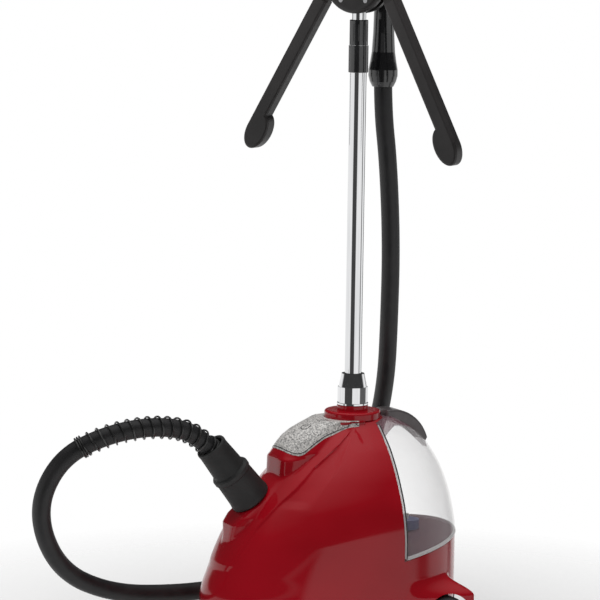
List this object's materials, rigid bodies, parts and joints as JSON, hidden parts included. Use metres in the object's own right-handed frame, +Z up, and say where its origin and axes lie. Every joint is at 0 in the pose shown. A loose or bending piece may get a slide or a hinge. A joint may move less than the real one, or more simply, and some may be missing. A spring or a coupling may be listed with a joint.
{
  "type": "garment steamer",
  "caption": "Upright garment steamer: domed wheeled base, lift-off rear water tank, telescopic pole with folding hanger arms, and a steam hose looping to a handset.",
  "frame": {"origin": "on the floor, under the middle of the steamer without its hose", "axes": "+Z up along the pole; the hose outlet faces -Y and the water tank is on +Y; +X to the tank's left-hand wheel when looking along +Y"},
  "size_m": [0.3203, 0.5797, 1.008],
  "materials": {
    "red_gloss": "deep red, high gloss moulded ABS",
    "black_gloss": "black, gloss",
    "black_satin": "black, satin with a fine moulded grain",
    "black_matte": "black, matte",
    "dark_grey": "dark grey, satin",
    "silver_panel": "silver with a fine speckle",
    "lens": "red translucent lens",
    "chrome": "polished chrome plate",
    "steel": "zinc plated steel",
    "brushed_steel": "brushed",
    "cast_aluminium": "as cast",
    "white_nylon": "natural nylon",
    "rubber": "black matte rubber",
    "tyre": "black moulded tyre",
    "hose_skin": "black matte woven-look sleeve",
    "spring_wire": "black coated wire",
    "silicone": "translucent silicone",
    "clear_tank": "clear moulded plastic",
    "smoky_lid": "smoky tinted plastic",
    "blue_grey": "dark blue-grey"
  },
  "bodies": {
    "base": {"body_shell": "red_gloss", "rear_shell": "red_gloss", "base_plate": "black_matte", "base_screws": "steel", "front_feet": "rubber", "control_panel": "silver_panel", "indicator_lens": "lens", "pole_collar": "red_gloss", "collar_ring": "red_gloss", "pole_socket": "black_matte", "pole_tube_lower": "chrome", "pole_lock_body": "black_gloss", "valve_seat": "black_matte", "boiler_body": "cast_aluminium", "boiler_lid": "cast_aluminium", "boiler_stand": "black_matte", "heating_element": "steel", "thermostat": "steel", "thermal_fuse": "white_nylon", "feed_pipe": "silicone", "steam_pipe": "silicone", "terminal_block": "white_nylon", "cord_inlet": "rubber", "hose_boot": "rubber", "hose_spring": "spring_wire", "steam_hose": "hose_skin", "axle": "steel", "axle_clips": "black_matte", "switch_body": "black_matte", "pedal_spring": "steel", "wheel_arch_left": "red_gloss", "wheel_arch_right": "red_gloss"},
    "nut": {"pole_nut": "chrome"},
    "lock": {"pole_lock_ring": "black_gloss"},
    "mast": {"pole_tube_upper": "chrome", "pole_bush": "white_nylon", "pole_end_cap": "black_matte", "handset_hook": "black_matte"},
    "hanger": {"hub_rear": "black_satin", "hub_cover": "black_satin", "hub_screws": "steel"},
    "hanger_arm_left": {"arm_left": "black_satin"},
    "hanger_arm_right": {"arm_right": "black_satin"},
    "handset": {"handle_front": "black_gloss", "handle_rear": "black_gloss", "handset_head": "black_gloss", "steam_plate": "brushed_steel", "handset_pipe": "white_nylon", "handset_screws": "steel"},
    "tank": {"tank_shell": "clear_tank", "tank_lid": "smoky_lid", "tank_handle": "dark_grey"},
    "cap": {"valve_cap": "blue_grey", "valve_spring": "steel"},
    "valve": {"valve_plunger": "white_nylon"},
    "wheel_left": {"wheel_hub_left": "dark_grey", "wheel_tyre_left": "tyre"},
    "wheel_right": {"wheel_hub_right": "dark_grey", "wheel_tyre_right": "tyre"},
    "pedal": {"foot_pedal": "dark_grey"}
  },
  "joints": [
    {"name": "nut_turn", "type": "hinge", "parent": "base", "child": "nut", "pos_m": [0, 0.03, 0.327], "axis": [0, 0, 1], "range_deg": [0, 180]},
    {"name": "lock_turn", "type": "hinge", "parent": "base", "child": "lock", "pos_m": [0, 0.03, 0.79], "axis": [0, 0, 1], "range_deg": [0, 90]},
    {"name": "mast_slide", "type": "slide", "parent": "base", "child": "mast", "axis": [0, 0, 1], "range_m": [0, 0.35]},
    {"name": "hanger_swivel", "type": "hinge", "parent": "mast", "child": "hanger", "pos_m": [0, 0.03, 0.87], "axis": [0, 0, 1], "range_deg": [-40, 40]},
    {"name": "arm_left_fold", "type": "hinge", "parent": "hanger", "child": "hanger_arm_left", "pos_m": [-0.02936, 0.00907, 0.861], "axis": [-0.5344, 0.8453, 0], "range_deg": [-20, 45]},
    {"name": "arm_right_fold", "type": "hinge", "parent": "hanger", "child": "hanger_arm_right", "pos_m": [0.0315, 0.04755, 0.861], "axis": [0.5344, -0.8453, 0], "range_deg": [-14, 50]},
    {"name": "handset_lift", "type": "slide", "parent": "mast", "child": "handset", "axis": [0, 0, 1], "range_m": [0, 0.024]},
    {"name": "tank_pull", "type": "slide", "parent": "base", "child": "tank", "axis": [0, 0.9063, 0.4226], "range_m": [0, 0.16]},
    {"name": "cap_turn", "type": "hinge", "parent": "tank", "child": "cap", "pos_m": [0, 0.115, 0.14], "axis": [0, 0, 1], "range_deg": [0, 90]},
    {"name": "valve_press", "type": "slide", "parent": "cap", "child": "valve", "axis": [0, 0, 1], "range_m": [0, 0.004], "stiffness_N_per_m": 60, "deforming": ["valve_spring"]},
    {"name": "wheel_left_spin", "type": "hinge", "parent": "base", "child": "wheel_left", "pos_m": [0, 0.108, 0.0335], "axis": [1, 0, 0], "continuous": true},
    {"name": "wheel_right_spin", "type": "hinge", "parent": "base", "child": "wheel_right", "pos_m": [0, 0.108, 0.0335], "axis": [1, 0, 0], "continuous": true},
    {"name": "pedal_press", "type": "slide", "parent": "base", "child": "pedal", "axis": [0, 0, -1], "range_m": [0, 0.004], "stiffness_N_per_m": 400, "deforming": ["pedal_spring"]}
  ]
}
